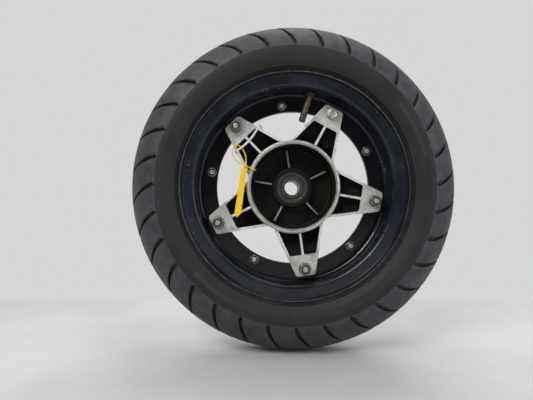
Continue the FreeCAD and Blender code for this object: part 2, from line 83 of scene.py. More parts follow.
LABEL_Y, LABEL_THICK = -16.2, 0.95
LABEL_BODY = 0.93  # share of the label's length that runs straight before it closes to its tip
STRAP_R, STRAP_TOOTH, STRAP_FLAT = 0.85, 0.06, 0.82
STRAP_PATH = [
    (-61.2, -16.6, 25.5), (-61.6, -14.0, 37.0), (-62.6, -11.4, 42.0), (-64.6, -9.4, 46.6),
    (-68.0, -9.2, 51.2), (-70.6, -11.4, 53.3), (-73.8, -13.6, 53.5), (-77.4, -15.2, 50.4),
    (-78.9, -16.2, 44.4), (-76.4, -17.3, 37.0), (-70.2, -18.2, 30.4), (-62.4, -18.7, 26.4),
    (-55.5, -18.5, 23.4), (-48.2, -17.6, 20.4)]

PANEL_PROUD, PANEL_SUNK = 0.35, 0.3
BAR_IN, BAR_OUT, BAR_TURN, BAR_PROUD = 165.4, 168.0, 2.2, 0.14

# ---- floor, room and camera, in metres ----
FLOOR_Z = -TYRE_R * MM
FLOOR_REACH, FLOOR_BACK = 1.6, 0.3
ROOM_DIM, ROOM_BRIGHT = 0.12, 0.78
CAMERA_AT = (-0.040, -0.529, -0.037)
CAMERA_LOOKS = (0.0100, 1.0, 0.0375)
LENS_MM = 27.0


# ---- shader helpers ----
class Shader:
    """Builds one node material; every texture is laid out in the wheel's own frame."""

    def __init__(self, name):
        self.material = bpy.data.materials.new(name)
        self.material.use_nodes = True
        self.tree = self.material.node_tree
        self.tree.nodes.clear()
        self.surface = self.node("ShaderNodeBsdfPrincipled")
        output = self.node("ShaderNodeOutputMaterial")
        self.join(self.surface.outputs[0], output.inputs[0])
        self.place = self.node("ShaderNodeTexCoord").outputs["Object"]

    def node(self, kind, **settings):
        made = self.tree.nodes.new(kind)
        for key, value in settings.items():
            setattr(made, key, value)
        return made

    def join(self, source, socket):
        self.tree.links.new(source, socket)

    def feed(self, socket, value):
        """Links a node output to a socket, or sets the socket to a plain value."""
        if isinstance(value, bpy.types.NodeSocket):
            self.join(value, socket)
        else:
            socket.default_value = value

    def math(self, operation, *values):
        made = self.node("ShaderNodeMath", operation=operation)
        for socket, value in zip(made.inputs, values):
            self.feed(socket, value)
        return made.outputs[0]

    def noise(self, scale, detail=4.0, rough=0.55, place=None, stretch=None):
        made = self.node("ShaderNodeTexNoise")
        source = place or self.place
        if stretch:
            mapping = self.node("ShaderNodeMapping")
            self.join(source, mapping.inputs["Vector"])
            mapping.inputs["Scale"].default_value = stretch
            source = mapping.outputs[0]
        self.join(source, made.inputs["Vector"])
        made.inputs["Scale"].default_value = scale
        made.inputs["Detail"].default_value = detail
        made.inputs["Roughness"].default_value = rough
        return made.outputs[0]

    def steps(self, value, low, high, start=0.0, end=1.0):
        """Smooth step of a value from start to end as it goes from low to high."""
        made = self.node("ShaderNodeMapRange", interpolation_type="SMOOTHSTEP")
        for socket, number in zip(made.inputs, (value, low, high, start, end)):
            self.feed(socket, number)
        return made.outputs[0]

    def blend(self, factor, first, second):
        made = self.node("ShaderNodeMix", data_type="RGBA")
        self.feed(made.inputs["Factor"], factor)
        for socket, value in ((made.inputs[6], first), (made.inputs[7], second)):
            self.feed(socket, (*value, 1.0) if isinstance(value, tuple) else value)
        return made.outputs[2]

    def parts(self, vector=None):
        made = self.node("ShaderNodeSeparateXYZ")
        self.join(vector or self.place, made.inputs[0])
        return made.outputs

    def radius(self):
        """Distance from the axle, in metres."""
        x, _, z = self.parts()
        return self.math("SQRT", self.math("ADD", self.math("MULTIPLY", x, x), self.math("MULTIPLY", z, z)))

    def turn(self):
        """Angle round the axle, in radians, for moulded hatching."""
        x, _, z = self.parts()
        return self.math("ARCTAN2", z, x)

    def facing(self, low=0.75, high=0.92):
        """1 where the piece's own surface looks along -Y, out of the wheel."""
        normal = self.node("ShaderNodeTexCoord").outputs["Normal"]
        return self.steps(self.math("MULTIPLY", self.parts(normal)[1], -1.0), low, high)

    def bump(self, height, distance, strength=1.0, below=None):
        made = self.node("ShaderNodeBump")
        made.inputs["Strength"].default_value = strength
        made.inputs["Distance"].default_value = distance
        self.join(height, made.inputs["Height"])
        if below:
            self.join(below, made.inputs["Normal"])
        return made.outputs[0]

    def recess(self, reach, low=0.35, high=0.85):
        """1 deep in corners and gaps narrower than reach metres, 0 in the open, from ambient occlusion;
        darkening a colour with it paints shade into those corners.
        """
        made = self.node("ShaderNodeAmbientOcclusion", samples=8)
        made.inputs["Distance"].default_value = reach
        return self.steps(made.outputs["AO"], high, low)

    def edge_wear_and_highlight(self, radius, low=0.02, high=0.18):
        """1 along sharp edges, where the rounded normal leaves the true one; used for worn edges, and for
        painted highlights along edges.
        """
        rounded = self.node("ShaderNodeBevel", samples=6)
        rounded.inputs["Radius"].default_value = radius
        true = self.node("ShaderNodeNewGeometry").outputs["Normal"]
        dot = self.node("ShaderNodeVectorMath", operation="DOT_PRODUCT")
        self.join(rounded.outputs[0], dot.inputs[0])
        self.join(true, dot.inputs[1])
        return self.steps(self.math("SUBTRACT", 1.0, dot.outputs["Value"]), low, high)

    def soft_edges(self, radius):
        """A normal that rounds the piece's edges, as a casting or pressing has."""
        rounded = self.node("ShaderNodeBevel", samples=6)
        rounded.inputs["Radius"].default_value = radius
        return rounded.outputs[0]

    def finish(self, color, rough, metal=0.0, normal=None, **sockets):
        values = {"Base Color": color, "Roughness": rough, "Metallic": metal}
        values.update({key.replace("_", " "): value for key, value in sockets.items()})
        for key, value in values.items():
            self.feed(self.surface.inputs[key], (*value, 1.0) if isinstance(value, tuple) else value)
        if normal:
            self.join(normal, self.surface.inputs["Normal"])
        return self.material


# ---- materials ----
def tyre_rubber():
    s = Shader("tyre_rubber")
    radius = s.radius()
    tread = s.steps(radius, 0.1693, 0.1706)
    cloud = s.noise(22.0, 6.0, 0.62)
    fine = s.noise(520.0, 5.0, 0.7)
    scuff = s.noise(75.0, 8.0, 0.75)
    streak = s.noise(34.0, 6.0, 0.7, stretch=(1.0, 3.0, 1.0))
    side = s.blend(s.steps(cloud, 0.35, 0.7), (0.0095, 0.0100, 0.0122), (0.0185, 0.0190, 0.0215))
    crown = s.blend(s.steps(scuff, 0.3, 0.72), (0.024, 0.0255, 0.0290), (0.060, 0.0625, 0.0690))
    crown = s.blend(s.steps(streak, 0.55, 0.75), crown, (0.043, 0.040, 0.037))
    color = s.blend(tread, side, crown)
    # painted shade: the rubber is darkened to near black in the grooves and other recesses, from ambient
    # occlusion
    color = s.blend(s.recess(0.006), color, (0.0055, 0.0055, 0.006))
    dust = s.math("MULTIPLY", s.steps(scuff, 0.56, 0.8), s.steps(fine, 0.45, 0.7))
    ring_dust = s.math("MULTIPLY", s.edge_wear_and_highlight(0.0012), s.steps(scuff, 0.42, 0.62, 0.0, 0.35))
    dust = s.math("MAXIMUM", s.math("MULTIPLY", dust, 0.4), ring_dust)
    color = s.blend(dust, color, (0.15, 0.14, 0.125))
    rough = s.steps(cloud, 0.3, 0.7, 0.48, 0.66)
    grain = s.bump(fine, 0.0004, 0.5)
    wear = s.bump(scuff, 0.0008, 0.35, grain)
    return s.finish(color, rough, 0.0, wear, Specular_IOR_Level=0.4)


def moulded_rubber():
    """Rubber of the plain raised panels: finely hatched across, as moulded data panels are."""
    s = Shader("moulded_rubber")
    hatch = s.math("SINE", s.math("MULTIPLY", s.turn(), 900.0))
    cloud = s.noise(60.0, 6.0, 0.65)
    color = s.blend(s.steps(cloud, 0.35, 0.7), (0.0105, 0.0108, 0.0125), (0.0230, 0.0232, 0.0250))
    color = s.blend(s.steps(hatch, 0.0, 1.0, 0.0, 0.5), color, (0.030, 0.0305, 0.033))
    return s.finish(color, s.steps(cloud, 0.3, 0.7, 0.5, 0.7), 0.0, s.bump(hatch, 0.0003, 0.7))


def black_paint():
    s = Shader("rim_paint")
    fine = s.noise(900.0, 3.0, 0.6)
    cloud = s.noise(26.0, 7.0, 0.65)
    spots = s.noise(150.0, 9.0, 0.78)
    scratch = s.noise(260.0, 4.0, 0.7, stretch=(1.0, 0.12, 1.0))
    radius = s.radius()
    barrel = s.math("MULTIPLY", s.steps(radius, 0.1185, 0.1215), s.steps(radius, 0.1400, 0.1385))
    chips = s.math("MULTIPLY", s.steps(spots, 0.655, 0.68), s.steps(cloud, 0.48, 0.60))
    flakes = s.noise(115.0, 9.0, 0.8, stretch=(1.0, 0.45, 1.0))
    flaked = s.math("MULTIPLY", s.steps(flakes, 0.605, 0.622), s.steps(s.noise(17.0, 3.0, 0.5), 0.54, 0.60))
    chips = s.math("MAXIMUM", chips, s.math("MULTIPLY", flaked, barrel))
    nicks = s.math("MULTIPLY", s.edge_wear_and_highlight(0.0012), s.steps(spots, 0.60, 0.66))
    bare = s.math("MAXIMUM", chips, nicks)
    rust = s.blend(s.steps(fine, 0.35, 0.65), (0.13, 0.090, 0.055), (0.42, 0.37, 0.28))
    paint = s.blend(s.steps(cloud, 0.4, 0.75), (0.0018, 0.0023, 0.0042), (0.0045, 0.0056, 0.0095))
    dust = s.math("MULTIPLY", s.steps(scratch, 0.60, 0.80), 0.12)
    paint = s.blend(dust, paint, (0.12, 0.115, 0.105))
    grime = s.math("MULTIPLY", s.recess(0.012), s.steps(spots, 0.3, 0.6, 0.1, 0.4))
    paint = s.blend(grime, paint, (0.030, 0.022, 0.015))
    # painted sheen: the same black paint is made lighter and bluer on the barrel and flange than on the
    # disc
    outer = s.blend(s.steps(cloud, 0.35, 0.7), (0.0085, 0.0105, 0.0165), (0.0180, 0.0215, 0.0310))
    paint = s.blend(s.steps(radius, 0.1205, 0.1235), paint, outer)
    # a pale line along the flange's lip: partly worn paint, partly a painted highlight
    rim_edge = s.math("MULTIPLY", s.steps(radius, 0.1412, 0.1421), s.steps(spots, 0.35, 0.6, 0.25, 0.9))
    paint = s.blend(rim_edge, paint, (0.16, 0.15, 0.135))
    color = s.blend(bare, paint, rust)
    rough = s.math("ADD", s.steps(cloud, 0.35, 0.75, 0.12, 0.30), s.math("MULTIPLY", bare, 0.5))
    skin = s.bump(s.noise(190.0, 3.0, 0.5), 0.00025, 0.30, s.soft_edges(0.0008))
    pits = s.bump(s.math("SUBTRACT", 1.0, bare), 0.0003, 0.8, skin)
    return s.finish(color, rough, 0.0, pits, Specular_IOR_Level=0.34)


def cast_hub():
    """Worn bare aluminium on the faces that look out of the wheel, old black paint everywhere else."""
    s = Shader("cast_hub")
    height = s.parts()[1]
    radius = s.radius()
    outward = s.facing()
    arms = s.math("MULTIPLY", s.steps(height, -0.0100, -0.0108), s.steps(radius, 0.0585, 0.0592))
    lip = s.steps(height, -0.0139, -0.0143)
    ribs = s.math("MULTIPLY", s.steps(height, 0.0170, 0.0160), s.steps(radius, 0.0275, 0.0282))
    ribs = s.math("MULTIPLY", ribs, s.steps(radius, 0.0550, 0.0545, 0.0, 0.5))
    polished = s.math("MULTIPLY", outward, s.math("MAXIMUM", s.math("MAXIMUM", arms, lip), ribs))
    grain = s.noise(560.0, 5.0, 0.72)
    cloud = s.noise(48.0, 7.0, 0.66)
    spots = s.noise(170.0, 8.0, 0.74)
    worn = s.steps(spots, 0.60, 0.66)
    thin = s.steps(radius, 0.0860, 0.0900, 0.04, 0.0)
    rails = s.math("MULTIPLY", thin, s.steps(height, -0.0136, -0.0130))
    keep = s.math("SUBTRACT", 1.0, s.math("MAXIMUM", s.math("MULTIPLY", worn, 0.5), rails))
    metal_mask = s.math("MULTIPLY", polished, keep)
    edges = s.math("MULTIPLY", s.edge_wear_and_highlight(0.0010), s.steps(spots, 0.42, 0.58))
    edges = s.math("MULTIPLY", edges, s.steps(height, 0.002, -0.006, 0.15, 1.0))
    metal_mask = s.math("MAXIMUM", metal_mask, edges)
    bright = s.blend(s.steps(cloud, 0.3, 0.7), (0.44, 0.435, 0.41), (0.86, 0.85, 0.81))
    bright = s.blend(s.math("MULTIPLY", s.steps(grain, 0.48, 0.70), 0.6), bright, (0.17, 0.16, 0.14))
    stain = s.math("MULTIPLY", s.steps(s.noise(95.0, 7.0, 0.75), 0.56, 0.68), 0.55)
    bright = s.blend(stain, bright, (0.13, 0.11, 0.085))
    dark = s.blend(s.steps(cloud, 0.35, 0.75), (0.0028, 0.0024, 0.0020), (0.0125, 0.0098, 0.0072))
    dark = s.blend(s.math("MULTIPLY", s.steps(spots, 0.58, 0.72), 0.35), dark, (0.060, 0.044, 0.030))
    narrow = s.math("MULTIPLY", s.steps(radius, 0.0900, 0.0860), s.steps(radius, 0.0600, 0.0640))
    lightened = s.math("MULTIPLY", narrow, s.steps(cloud, 0.3, 0.6, 0.3, 0.9))
    bright = s.blend(lightened, bright, (0.90, 0.885, 0.83))
    color = s.blend(metal_mask, dark, bright)
    # painted shade: the casting is darkened to near black in its corners and pockets, from ambient
    # occlusion
    color = s.blend(s.math("MULTIPLY", s.recess(0.0025), 0.6), color, (0.012, 0.010, 0.0085))
    rough = s.math("ADD", s.math("MULTIPLY", metal_mask, -0.18), s.math("MULTIPLY", grain, 0.3))
    rough = s.math("ADD", rough, 0.44)
    cast = s.bump(grain, 0.0005, 0.5, s.soft_edges(0.0009))
    pits = s.bump(spots, 0.0007, 0.35, cast)
    return s.finish(color, rough, s.math("MULTIPLY", metal_mask, 0.7), pits, Specular_IOR_Level=0.18)


def turned_iron():
    s = Shader("drum_iron")
    height = s.parts()[1]
    cloud = s.noise(60.0, 6.0, 0.65)
    spots = s.noise(330.0, 6.0, 0.72)
    rings = s.noise(1400.0, 3.0, 0.6, stretch=(0.02, 1.0, 0.02))
    lip = s.math("MULTIPLY", s.steps(height, -0.0138, -0.0142), s.facing())
    lip = s.math("MULTIPLY", lip, s.steps(spots, 0.30, 0.6, 1.0, 0.45))
    dark = s.blend(s.steps(cloud, 0.3, 0.7), (0.012, 0.0095, 0.0070), (0.034, 0.026, 0.019))
    dark = s.blend(s.math("MULTIPLY", s.steps(rings, 0.45, 0.7), 0.4), dark, (0.060, 0.047, 0.035))
    color = s.blend(lip, dark, (0.46, 0.44, 0.40))
    skin = s.bump(rings, 0.0002, 0.5, s.soft_edges(0.0005))
    return s.finish(color, s.steps(cloud, 0.3, 0.7, 0.40, 0.6), 0.5, skin)


def dull_zinc(name="dull_zinc", tone=1.0):
    """Old zinc plating; a lower tone is the same metal under oil and dirt."""
    s = Shader(name)
    cloud = s.noise(240.0, 6.0, 0.7)
    fine = s.noise(1500.0, 4.0, 0.7)
    stain = s.math("MULTIPLY", s.steps(cloud, 0.50, 0.64), 0.85)
    plain = [tuple(tone * c for c in shade) for shade in ((0.40, 0.385, 0.35), (0.72, 0.70, 0.65))]
    color = s.blend(s.steps(fine, 0.3, 0.7), *plain)
    color = s.blend(stain, color, (0.15, 0.095, 0.055))
    # lighter along the edges: partly rubbed plating, partly a painted highlight
    lightened = s.math("MULTIPLY", s.edge_wear_and_highlight(0.0007), s.steps(cloud, 0.35, 0.6, 0.95, 0.4))
    color = s.blend(lightened, color, (0.66, 0.64, 0.59))
    # painted shade: the metal is darkened to near black in the threads and corners, from ambient occlusion
    color = s.blend(s.recess(0.0030, 0.50, 0.95), color, (0.006, 0.005, 0.004))
    skin = s.bump(fine, 0.0002, 0.4, s.soft_edges(0.0003))
    return s.finish(color, s.steps(cloud, 0.3, 0.7, 0.24, 0.50), 0.85, skin)


def bearing_steel():
    s = Shader("bearing_steel")
    cloud = s.noise(150.0, 6.0, 0.68)
    rings = s.noise(2600.0, 3.0, 0.6, stretch=(0.05, 1.0, 0.05))
    color = s.blend(s.steps(cloud, 0.35, 0.68), (0.110, 0.100, 0.088), (0.040, 0.034, 0.027))
    # painted highlight: the races' edges are made pale
    highlit_rims = s.math("MULTIPLY", s.edge_wear_and_highlight(0.0009), s.steps(cloud, 0.3, 0.6, 1.0, 0.55))
    color = s.blend(highlit_rims, color, (0.62, 0.60, 0.56))
    # painted shade: the steel is darkened to near black in the gaps between the rings, from ambient
    # occlusion
    color = s.blend(s.recess(0.002), color, (0.012, 0.010, 0.009))
    skin = s.bump(rings, 0.0001, 0.4, s.soft_edges(0.0004))
    return s.finish(color, s.steps(cloud, 0.3, 0.7, 0.30, 0.55), 0.8, skin)


def greasy_seal():
    s = Shader("greasy_seal")
    cloud = s.noise(260.0, 6.0, 0.7)
    color = s.blend(s.steps(cloud, 0.35, 0.7), (0.006, 0.0055, 0.005), (0.022, 0.019, 0.015))
    return s.finish(color, s.steps(cloud, 0.3, 0.7, 0.30, 0.6), 0.0, s.bump(cloud, 0.0003, 0.4))


def old_brass():
    s = Shader("old_brass")
    cloud = s.noise(330.0, 6.0, 0.7)
    color = s.blend(s.steps(cloud, 0.35, 0.68), (0.13, 0.098, 0.055), (0.040, 0.030, 0.020))
    return s.finish(color, s.steps(cloud, 0.3, 0.7, 0.38, 0.62), 0.65, s.bump(cloud, 0.0002, 0.4))


def black_plastic():
    s = Shader("cap_plastic")
    fine = s.noise(900.0, 5.0, 0.7)
    color = s.blend(s.steps(fine, 0.35, 0.7), (0.010, 0.010, 0.011), (0.034, 0.033, 0.031))
    return s.finish(color, s.steps(fine, 0.3, 0.7, 0.42, 0.6), 0.0, s.bump(fine, 0.0002, 0.4))


def label_plastic():
    s = Shader("label_plastic")
    cloud = s.noise(190.0, 5.0, 0.65)
    fine = s.noise(1300.0, 4.0, 0.6)
    color = s.blend(s.steps(cloud, 0.35, 0.72), (0.95, 0.63, 0.003), (0.80, 0.51, 0.003))
    color = s.blend(s.math("MULTIPLY", s.steps(fine, 0.6, 0.8), 0.3), color, (0.35, 0.22, 0.03))
    return s.finish(color, s.steps(cloud, 0.3, 0.7, 0.32, 0.48), 0.0, s.bump(cloud, 0.0005, 0.5))


def nylon():
    s = Shader("tie_nylon")
    cloud = s.noise(240.0, 5.0, 0.65)
    color = s.blend(s.steps(cloud, 0.35, 0.72), (0.70, 0.72, 0.73), (0.50, 0.52, 0.53))
    return s.finish(color, s.steps(cloud, 0.3, 0.7, 0.3, 0.45), 0.0, s.bump(cloud, 0.0002, 0.4))


def studio_floor():
    s = Shader("pale_floor")
    cloud = s.noise(6.0, 6.0, 0.6)
    fine = s.noise(260.0, 4.0, 0.6)
    color = s.blend(s.steps(cloud, 0.3, 0.7), (0.52, 0.52, 0.52), (0.585, 0.585, 0.59))
    return s.finish(color, s.steps(fine, 0.3, 0.7, 0.62, 0.75), 0.0, s.bump(fine, 0.0003, 0.3))


# ---- mesh helpers ----
def mesh_object(name, points, faces, material, body, stands_for=(), slot=None):
    """A piece from points in millimetres; it rides on a CAD body and can stand for CAD nodes."""
    mesh = bpy.data.meshes.new(name)
    mesh.from_pydata([tuple(MM * c for c in p) for p in points], [], faces)
    mesh.materials.append(material)
    mesh.validate()
    work = bmesh.new()
    work.from_mesh(mesh)
    bmesh.ops.recalc_face_normals(work, faces=work.faces)
    work.to_mesh(mesh)
    work.free()
    made = bpy.data.objects.new(name, mesh)
    bpy.context.scene.collection.objects.link(made)
    for polygon in mesh.polygons:
        polygon.use_smooth = True
    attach(made, body)
    if stands_for:
        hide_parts(*stands_for)
    return made


def curve_through(points, count):
    """Evenly spaced points on a smooth curve through the given (r, y) points."""
    path = np.array(points, dtype=float)
    ends = np.vstack([2 * path[0] - path[1], path, 2 * path[-1] - path[-2]])
    fine = []
    for i in range(1, len(ends) - 2):
        a, b, c, d = ends[i - 1:i + 3]
        for t in np.linspace(0, 1, 24, endpoint=False):
            fine.append(0.5 * (2 * b + (c - a) * t + (2 * a - 5 * b + 4 * c - d) * t**2
                               + (3 * b - a - 3 * c + d) * t**3))
    fine = np.array(fine + [path[-1]])
    along = np.concatenate([[0], np.cumsum(np.linalg.norm(np.diff(fine, axis=0), axis=1))])
    wanted = np.linspace(0, along[-1], count)
    return np.stack([np.interp(wanted, along, fine[:, k]) for k in (0, 1)], axis=1)


def strip_faces(count, wide, closed=False):
    """Faces between neighbouring outlines of wide points each; closed joins the last one to the first."""
    faces = []
    for i in range(count if closed else count - 1):
        j = (i + 1) % count
        for k in range(wide):
            n = (k + 1) % wide
            faces.append((i * wide + k, i * wide + n, j * wide + n, j * wide + k))
    return faces


def sheet_faces(long_steps, wide):
    """Faces of a thin closed sheet: a grid of front points, the same grid of back points, and the edge."""
    base = (long_steps + 1) * wide
    faces = []
    for i in range(long_steps):
        for k in range(wide - 1):
            a, b = i * wide + k, (i + 1) * wide + k
            faces.append((a, b, b + 1, a + 1))
            faces.append((base + a, base + a + 1, base + b + 1, base + b))
    rim = list(range(wide)) + [i * wide + wide - 1 for i in range(1, long_steps + 1)]
    rim += [long_steps * wide + k for k in range(wide - 2, -1, -1)]
    rim += [i * wide for i in range(long_steps - 1, 0, -1)]
    return faces + [(a, b, base + b, base + a) for a, b in zip(rim, rim[1:] + rim[:1])]


# ---- tyre ----
def tread_place(angle, depth=0.0):
    """Radius and y of a point on the tread's arc, at a section angle and a depth under it."""
    reach = TREAD_ARC_R - depth
    a = math.radians(angle)
    return TYRE_R - TREAD_ARC_R + reach * math.cos(a), -reach * math.sin(a)


def smooth_step(x):
    """0 below 0, 1 above 1, and a smooth rise between."""
    x = np.clip(x, 0.0, 1.0)
    return x * x * (3 - 2 * x)


def groove_shift(angle):
    """How far round, in degrees, the groove lines have moved at a section angle; + is the -Y side."""
    reach = abs(angle)
    bend = GROOVE_SWEEP * smooth_step((SHOULDER - reach) / SHOULDER) ** GROOVE_BEND
    half_pitch = 180.0 / GROOVES
    return float(bend) + half_pitch * float(smooth_step(0.5 - angle / CROWN_SHIFT))


def groove_depth(angle, across):
    """Depth in millimetres at a section angle and at a distance across the groove, in millimetres."""
    reach = abs(angle)
    half = GROOVE_HALF + GROOVE_WIDENS * float(smooth_step((reach - 45.0) / 18.0))
    past_end = max(0.0, reach - GROOVE_OUTER_END)
    half *= math.sqrt(max(0.0, 1.0 - (past_end / GROOVE_ROUND) ** 2))
    length = float(smooth_step((reach - GROOVE_INNER_END) / GROOVE_FADE))
    side = float(smooth_step((half + GROOVE_WALL / 2 - abs(across)) / GROOVE_WALL))
    return GROOVE_DEPTH * length * side


SIDE_CURVE = curve_through(
    [(169.7, -50.94), (162.0, -50.6), (154.0, -47.8), (148.0, -43.4), (144.9, -38.2)], 46)


def build_tyre(material):
    """The tyre's whole skin: bead, sidewall, grooved tread, the other side, and the inside."""
    bead = [(144.9, -38.2), (140.9, -31.5), (137.0, -31.72), (128.6, -31.72), (126.65, -29.8),
            (126.65, -22.8)]
    inside = [(126.65, -22.8), (136.0, -24.1), (144.0, -30.6), (151.0, -39.1), (159.0, -43.5),
              (172.2, -41.8)]
    wall = SIDE_CURVE.copy()
    for k, (r, y) in enumerate(wall):
        wall[k] = (r, y - side_ribs(r))
    inner_half = [curve_through(inside, 12)[::-1][:-1], bead[::-1][:-1], wall[::-1]]
    rows = [(r, y, None) for r, y in np.vstack(inner_half)]
    angles = [75.2, 74.4, 73.6, 73.0, 72.4, 71.8, 71.0] + list(np.linspace(69.5, 22.0, 40))
    angles += [20.0, 18.5, 17.0, 15.5, 14.0, 12.5, 11.0, 8.0, 4.0]
    tread = angles + [0.0] + [-a for a in reversed(angles)]
    near = len(rows)
    rows += [(*tread_place(a), a) for a in tread]
    rows += [(r, -y, None) for r, y, _ in reversed(rows[:near])]
    inner_arc = [tread_place(a, TREAD_THICK) for a in np.linspace(-60, 60, 13)]
    rows += [(r, y, None) for r, y in inner_arc]
    pitch = 360.0 / GROOVES
    mm_per_degree = math.radians(1.0) * GROOVE_SPACING_R
    edge = [0.9, 1.3, 1.5, 1.75, 2.0, 2.25, 2.5, 2.75]
    columns = [-e for e in reversed(edge)] + [0.0] + edge
    land = mm_per_degree * pitch - 2 * edge[-1]
    columns += [edge[-1] + land * k / 9 for k in range(1, 9)]
    points = []
    for r, y, angle in rows:
        shift = groove_shift(angle if angle is not None else math.copysign(SHOULDER, -y))
        for g in range(GROOVES):
            for across in columns:
                depth = groove_depth(angle, across) if angle is not None else 0.0
                rr, yy = tread_place(angle, depth) if depth else (r, y)
                turn = math.radians(pitch * g + shift + across / mm_per_degree)
                points.append((rr * math.cos(turn), yy, rr * math.sin(turn)))
    faces = strip_faces(len(rows), GROOVES * len(columns), closed=True)
    mesh_object("tyre_moulded", points, faces, material, "wheel", ("tyre",), "tyre")


def side_ribs(radius):
    """Height of the moulded rings on the sidewall, in millimetres."""
    rings = (
        (147.6, 0.9, 0.8), (150.4, 0.6, 0.45), (153.0, 0.6, 0.45), (155.0, 0.5, 0.3), (166.4, 0.5, 0.12))
    return sum(height * math.exp(-((radius - at) / width) ** 2) for at, width, height in rings)


# ---- sweeps and turned pieces ----
def swept(path, outlines):
    """A tube with closed ends: one outline (side, up) per path point, carried along without twisting."""
    ahead = np.roll(path, -1, axis=0) - np.roll(path, 1, axis=0)
    ahead[0], ahead[-1] = path[1] - path[0], path[-1] - path[-2]
    ahead /= np.linalg.norm(ahead, axis=1)[:, None]
    points = []
    up = np.array((0.0, -1.0, 0.0))
    for centre, forward, outline in zip(path, ahead, outlines):
        up = up - forward * up.dot(forward)
        up /= np.linalg.norm(up)
        side = np.cross(forward, up)
        points += [tuple(centre + side * u + up * v) for u, v in outline]
    wide = len(outlines[0])
    return capped(points, strip_faces(len(path), wide), wide)


def turned_rows(rows, around):
    """A turned skin about +Y, open at both ends; each row is (y, radius), or a radius for each turn."""
    points = []
    for y, radius in rows:
        for k in range(around):
            turn = 360.0 * k / around
            r = radius(turn) if callable(radius) else radius
            points.append((r * math.cos(math.radians(turn)), y, r * math.sin(math.radians(turn))))
    return points, strip_faces(len(rows), around)


def capped(points, faces, around):
    """Closes the first and the last row of a skin with a face each."""
    last = len(points) - around
    return points, faces + [tuple(range(around))[::-1], tuple(range(last, last + around))]


def looped(points, faces, around):
    """Joins the last row of a turned piece to its first, for a ring."""
    last = len(points) - around
    ring = [(last + k, last + (k + 1) % around, (k + 1) % around, k) for k in range(around)]
    return points, faces + ring


def joined(pieces):
    """Several pieces' points and faces as one."""
    points, faces = [], []
    for some_points, some_faces in pieces:
        start = len(points)
        points += some_points
        faces += [tuple(start + i for i in face) for face in some_faces]
    return points, faces


def placed_on_circle(piece, angle, y, flip=False, spin=0.0):
    """Puts a piece made about +Y on the bolt circle, its base at y; flip points it towards -Y."""
    points, faces = piece
    a = math.radians(angle)
    moved = []
    for x, up, z in points:
        t = math.radians(spin)
        x, z = x * math.cos(t) - z * math.sin(t), x * math.sin(t) + z * math.cos(t)
        if flip:
            up, z = -up, -z
        x += BOLT_CIRCLE_R
        moved.append((x * math.cos(a) - z * math.sin(a), y + up, x * math.sin(a) + z * math.cos(a)))
    return moved, faces


# ---- fasteners ----
def hex_radius(flats, limit=1e9):
    """Outline of a hex cut back by a cone: the smaller of the two radii at each turn."""
    def radius(turn):
        off = (turn % 60.0) - 30.0
        return min(flats / 2 / math.cos(math.radians(off)), limit)
    return radius


def hex_rows(flats, height, bottom_bevel):
    """Rows of a hex, its corners cut back by a 30 degree cone at the top and, for a nut, the bottom."""
    corner = flats / 2 / math.cos(math.radians(30))
    face_r = flats / 2 * 0.955
    slope = math.tan(math.radians(30))
    rows = []
    steps = 6
    depth = (corner - face_r) * slope
    for k in range(steps + 1) if bottom_bevel else ():
        rows.append((depth * k / steps, hex_radius(flats, face_r + (corner - face_r) * k / steps)))
    if not bottom_bevel:
        rows.append((0.0, hex_radius(flats)))
    for k in range(steps, -1, -1):
        rows.append((height - depth * k / steps, hex_radius(flats, face_r + (corner - face_r) * k / steps)))
    return rows


def thread_radius(radius, pitch, y):
    """Radius of a threaded shank at a height, for each turn."""
    def at(turn):
        phase = (y / pitch + turn / 360.0) % 1.0
        return radius - THREAD_DEPTH * pitch * abs(2 * phase - 1)
    return at


def nut_piece(flats, bore, height):
    """A hex nut standing on its seat at 0, countersunk at the top; its bore closes on the bolt."""
    sunk = height - 1.5
    ease = sunk / 18
    rows = hex_rows(flats, height, True)
    rows += [(height, bore + 1.15), (height - 0.25, bore + 1.0), (sunk, bore - 0.1)]
    rows += [(sunk - ease, bore - 0.02), (ease, bore - 0.02), (0.0, bore + 0.1)]
    points, faces = turned_rows(rows, AROUND)
    return looped(points, faces, AROUND)


def bolt_piece(flats, radius, head, length, threaded, pitch):
    """A hex bolt along +Y from its seat at 0; the head is below, the end is threaded and domed."""
    face = flats / 2
    groove = [(0.0, 0.70), (0.25, 0.78), (0.0, 0.86)]  # a shallow ring pressed into the head's face
    rows = [(-head, NEAR_AXIS)] + [(-head + deep, face * share) for deep, share in groove]
    rows += [(-y, r) for y, r in reversed(hex_rows(flats, head, False))]
    rows += [(0.0, radius), (length - threaded, radius)]
    steps = int(threaded / pitch * 8)
    for k in range(1, steps):
        y = length - threaded + (threaded - 0.9) * k / steps
        rows.append((y, thread_radius(radius, pitch, y)))
    end = [(0.85, 0.86), (0.15, 0.74), (0.0, 0.62), (0.2, 0.35)]  # a chamfer, then a shallow hollow
    rows += [(length - short, radius * share) for short, share in end] + [(length - 0.2, NEAR_AXIS)]
    return capped(*turned_rows(rows, AROUND), AROUND)


def washer_piece(bore, outer, thick):
    """A flat washer standing on 0, its edges eased."""
    rows = [(0.0, bore), (0.0, outer - 0.3), (0.3, outer), (thick - 0.35, outer), (thick, outer - 0.35),
            (thick, bore + 0.25), (thick - 0.2, bore)]
    return looped(*turned_rows(rows, AROUND), AROUND)


